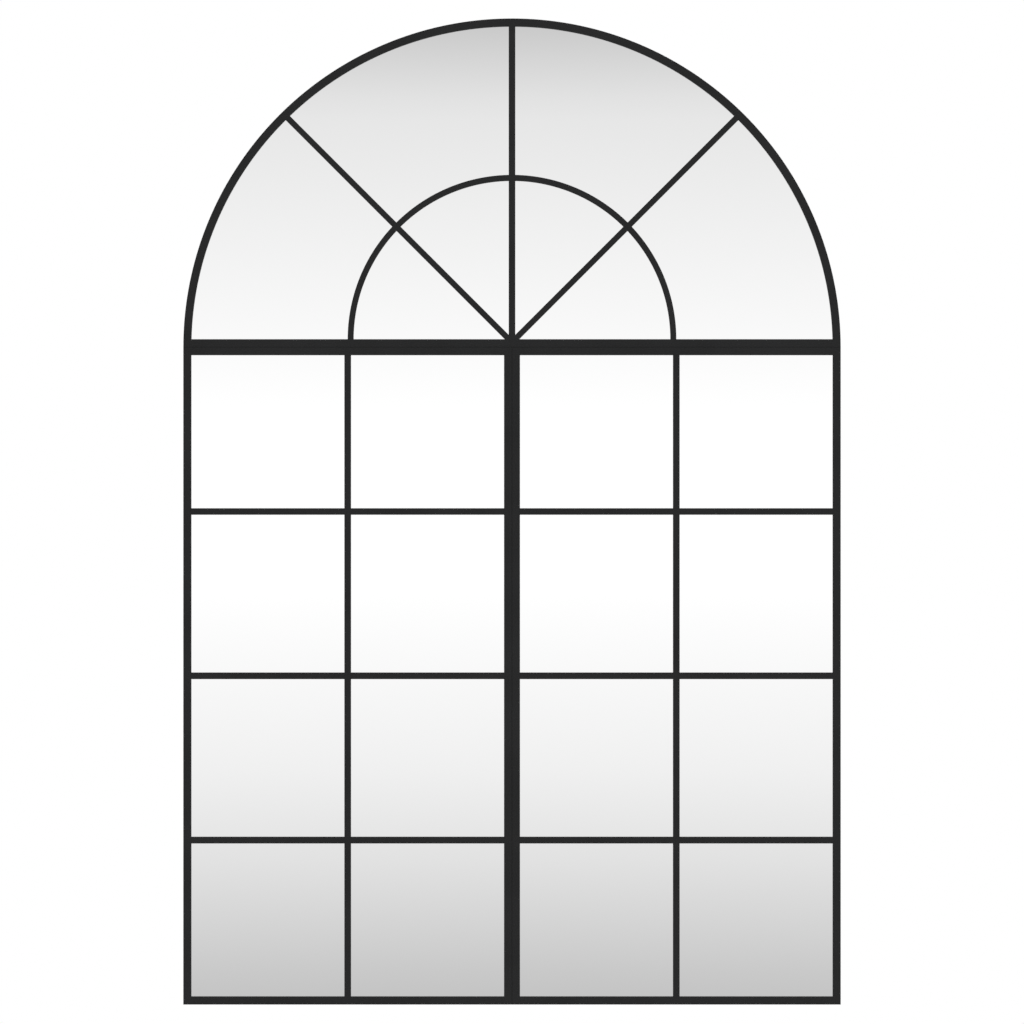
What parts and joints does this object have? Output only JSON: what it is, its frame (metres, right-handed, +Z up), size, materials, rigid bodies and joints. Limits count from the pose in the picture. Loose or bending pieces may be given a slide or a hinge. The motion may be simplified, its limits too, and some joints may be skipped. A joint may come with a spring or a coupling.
{
  "type": "arched window mirror",
  "caption": "Round-arched wall mirror in a black iron window frame: a sunburst fanlight over two tall panels with glazing bars, hung from rings on the back.",
  "frame": {"origin": "in the wall plane, midway between the two points where the raised hanger rings bear on their wall hooks", "axes": "+X to the right as seen from the front, +Y from the front face towards the wall, +Z up"},
  "size_m": [1, 0.02, 1.5],
  "materials": {
    "frame_iron": "satin black powder coat with a fine texture",
    "mirror_glass": "silvered float glass, polished edges, painted back",
    "liner_card": "brown fluted cardboard, matt",
    "back_board": "brown hardboard, smooth face out",
    "zinc_steel": "bright zinc plate, slightly dulled",
    "pad_rubber": "matt moulded rubber"
  },
  "bodies": {
    "mirror_frame": {"fan_bow": "frame_iron", "fan_sill": "frame_iron", "fan_spoke_centre": "frame_iron", "fan_spoke_left": "frame_iron", "fan_spoke_right": "frame_iron", "fan_ring": "frame_iron", "left_outer_stile": "frame_iron", "left_meeting_stile": "frame_iron", "left_head_rail": "frame_iron", "left_foot_rail": "frame_iron", "left_upright_bar": "frame_iron", "left_cross_bar_1": "frame_iron", "left_cross_bar_2": "frame_iron", "left_cross_bar_3": "frame_iron", "right_outer_stile": "frame_iron", "right_meeting_stile": "frame_iron", "right_head_rail": "frame_iron", "right_foot_rail": "frame_iron", "right_upright_bar": "frame_iron", "right_cross_bar_1": "frame_iron", "right_cross_bar_2": "frame_iron", "right_cross_bar_3": "frame_iron", "fan_mirror": "mirror_glass", "left_mirror": "mirror_glass", "right_mirror": "mirror_glass", "fan_liner": "liner_card", "left_liner": "liner_card", "right_liner": "liner_card", "fan_back_board": "back_board", "left_back_board": "back_board", "right_back_board": "back_board", "centre_tee_plate": "zinc_steel", "lower_joiner_plate": "zinc_steel", "upper_joiner_plate": "zinc_steel", "left_transom_plate": "zinc_steel", "right_transom_plate": "zinc_steel", "left_hanger_strap": "zinc_steel", "right_hanger_strap": "zinc_steel", "left_wall_pad": "pad_rubber", "right_wall_pad": "pad_rubber"},
    "left_ring": {"left_hanger_ring": "zinc_steel"},
    "right_ring": {"right_hanger_ring": "zinc_steel"},
    "fan_right_clip": {"fan_right_clip": "zinc_steel"},
    "fan_top_clip": {"fan_top_clip": "zinc_steel"},
    "fan_left_clip": {"fan_left_clip": "zinc_steel"},
    "fan_sill_left_clip": {"fan_sill_left_clip": "zinc_steel"},
    "fan_sill_right_clip": {"fan_sill_right_clip": "zinc_steel"},
    "left_outer_clip_1": {"left_outer_clip_1": "zinc_steel"},
    "left_outer_clip_2": {"left_outer_clip_2": "zinc_steel"},
    "left_meeting_clip": {"left_meeting_clip": "zinc_steel"},
    "left_foot_clip": {"left_foot_clip": "zinc_steel"},
    "left_head_clip": {"left_head_clip": "zinc_steel"},
    "right_outer_clip_1": {"right_outer_clip_1": "zinc_steel"},
    "right_outer_clip_2": {"right_outer_clip_2": "zinc_steel"},
    "right_meeting_clip": {"right_meeting_clip": "zinc_steel"},
    "right_foot_clip": {"right_foot_clip": "zinc_steel"},
    "right_head_clip": {"right_head_clip": "zinc_steel"}
  },
  "joints": [
    {"name": "left_ring_swing", "type": "hinge", "parent": "mirror_frame", "child": "left_ring", "pos_m": [-0.3, -0.00475, -0.0255], "axis": [1, 0, 0], "range_deg": [0, 180]},
    {"name": "right_ring_swing", "type": "hinge", "parent": "mirror_frame", "child": "right_ring", "pos_m": [0.3, -0.00475, -0.0255], "axis": [1, 0, 0], "range_deg": [0, 180]},
    {"name": "fan_right_clip_turn", "type": "hinge", "parent": "mirror_frame", "child": "fan_right_clip", "pos_m": [0.42912, -0.007, 0.20825], "axis": [0, 1, 0], "range_deg": [-90, 90]},
    {"name": "fan_top_clip_turn", "type": "hinge", "parent": "mirror_frame", "child": "fan_top_clip", "pos_m": [0, -0.007, 0.456], "axis": [0, 1, 0], "range_deg": [-90, 90]},
    {"name": "fan_left_clip_turn", "type": "hinge", "parent": "mirror_frame", "child": "fan_left_clip", "pos_m": [-0.42912, -0.007, 0.20825], "axis": [0, 1, 0], "range_deg": [-90, 90]},
    {"name": "fan_sill_left_clip_turn", "type": "hinge", "parent": "mirror_frame", "child": "fan_sill_left_clip", "pos_m": [-0.15, -0.007, -0.03488], "axis": [0, 1, 0], "range_deg": [-90, 90]},
    {"name": "fan_sill_right_clip_turn", "type": "hinge", "parent": "mirror_frame", "child": "fan_sill_right_clip", "pos_m": [0.15, -0.007, -0.03488], "axis": [0, 1, 0], "range_deg": [-90, 90]},
    {"name": "left_outer_clip_1_turn", "type": "hinge", "parent": "mirror_frame", "child": "left_outer_clip_1", "pos_m": [-0.4955, -0.007, -0.8395], "axis": [0, 1, 0], "range_deg": [-90, 90]},
    {"name": "left_outer_clip_2_turn", "type": "hinge", "parent": "mirror_frame", "child": "left_outer_clip_2", "pos_m": [-0.4955, -0.007, -0.2395], "axis": [0, 1, 0], "range_deg": [-90, 90]},
    {"name": "left_meeting_clip_turn", "type": "hinge", "parent": "mirror_frame", "child": "left_meeting_clip", "pos_m": [-0.00462, -0.007, -0.5395], "axis": [0, 1, 0], "range_deg": [-90, 90]},
    {"name": "left_foot_clip_turn", "type": "hinge", "parent": "mirror_frame", "child": "left_foot_clip", "pos_m": [-0.25, -0.007, -1.035], "axis": [0, 1, 0], "range_deg": [-90, 90]},
    {"name": "left_head_clip_turn", "type": "hinge", "parent": "mirror_frame", "child": "left_head_clip", "pos_m": [-0.25, -0.007, -0.04412], "axis": [0, 1, 0], "range_deg": [-90, 90]},
    {"name": "right_outer_clip_1_turn", "type": "hinge", "parent": "mirror_frame", "child": "right_outer_clip_1", "pos_m": [0.4955, -0.007, -0.8395], "axis": [0, 1, 0], "range_deg": [-90, 90]},
    {"name": "right_outer_clip_2_turn", "type": "hinge", "parent": "mirror_frame", "child": "right_outer_clip_2", "pos_m": [0.4955, -0.007, -0.2395], "axis": [0, 1, 0], "range_deg": [-90, 90]},
    {"name": "right_meeting_clip_turn", "type": "hinge", "parent": "mirror_frame", "child": "right_meeting_clip", "pos_m": [0.00462, -0.007, -0.5395], "axis": [0, 1, 0], "range_deg": [-90, 90]},
    {"name": "right_foot_clip_turn", "type": "hinge", "parent": "mirror_frame", "child": "right_foot_clip", "pos_m": [0.25, -0.007, -1.035], "axis": [0, 1, 0], "range_deg": [-90, 90]},
    {"name": "right_head_clip_turn", "type": "hinge", "parent": "mirror_frame", "child": "right_head_clip", "pos_m": [0.25, -0.007, -0.04412], "axis": [0, 1, 0], "range_deg": [-90, 90]}
  ]
}
